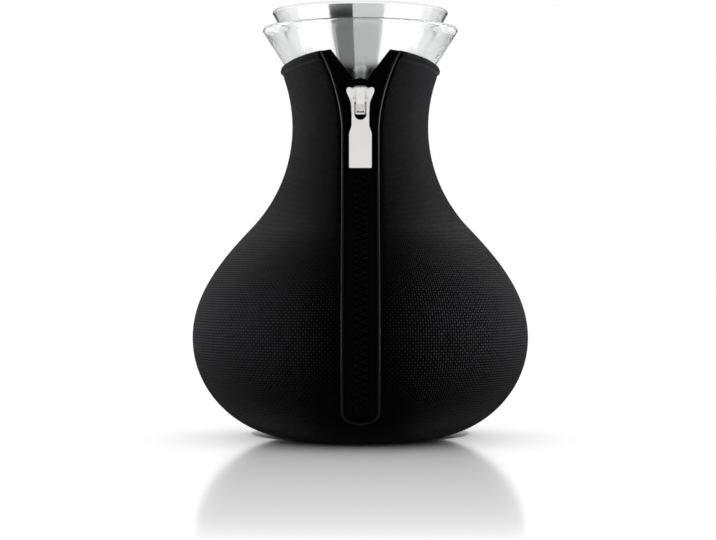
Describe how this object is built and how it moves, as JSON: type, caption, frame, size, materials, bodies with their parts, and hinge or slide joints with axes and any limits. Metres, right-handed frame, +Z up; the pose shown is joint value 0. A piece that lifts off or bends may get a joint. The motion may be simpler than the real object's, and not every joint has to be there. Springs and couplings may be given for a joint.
{
  "type": "tea maker",
  "caption": "Glass tea flask in a padded black zip jacket, with a steel pouring funnel, a tilting flap lid and a hanging tea egg.",
  "frame": {"origin": "on the floor, under the middle of the flask", "axes": "+Z up along the axis of the flask, -Y out of the front, where the zip is"},
  "size_m": [0.1654, 0.1655, 0.2106],
  "materials": {
    "glass": "clear blown glass",
    "jacket": "fine woven cloth on foam",
    "binding": "smooth satin binding",
    "tape": "woven zip tape",
    "teeth": "moulded, slightly shiny",
    "nickel": "matte nickel plating",
    "polished_steel": "polished stainless steel",
    "silicone": "matte silicone",
    "satin_steel": "satin stainless steel"
  },
  "bodies": {
    "jug": {"glass_flask": "glass", "jacket_left": "jacket", "jacket_right": "jacket", "zip_binding": "binding", "zip_tape_left": "tape", "zip_tape_right": "tape", "zip_teeth_left": "teeth", "zip_teeth_right": "teeth", "zip_top_stop": "tape", "zip_bottom_stop": "teeth"},
    "insert": {"pouring_funnel": "polished_steel", "neck_gasket": "silicone", "flap_bracket": "satin_steel", "flap_pin": "satin_steel", "egg_spider": "satin_steel", "egg_stem": "satin_steel", "egg_cap": "satin_steel"},
    "flap": {"pour_flap": "satin_steel"},
    "cup": {"egg_cup": "satin_steel"},
    "slider": {"slider_body": "nickel", "slider_bridge": "nickel"},
    "puller": {"zip_puller": "nickel"}
  },
  "joints": [
    {"name": "insert_lift", "type": "slide", "parent": "jug", "child": "insert", "axis": [0, 0, 1], "range_m": [0, 0.17]},
    {"name": "flap_tilt", "type": "hinge", "parent": "insert", "child": "flap", "pos_m": [0, 0.014, 0.17728], "axis": [-1, 0, 0], "range_deg": [0, 60]},
    {"name": "cup_turn", "type": "hinge", "parent": "insert", "child": "cup", "pos_m": [0, 0, 0.09708], "axis": [0, 0, 1], "range_deg": [0, 40]},
    {"name": "slider_run", "type": "hinge", "parent": "jug", "child": "slider", "pos_m": [0, -0.1056, 0.1534], "axis": [-1, 0, 0], "range_deg": [0, 46], "deforming": ["zip_teeth_left", "zip_teeth_right"]},
    {"name": "puller_swing", "type": "hinge", "parent": "slider", "child": "puller", "pos_m": [0, -0.03726, 0.16361], "axis": [-1, 0, 0], "range_deg": [0, 150]}
  ]
}
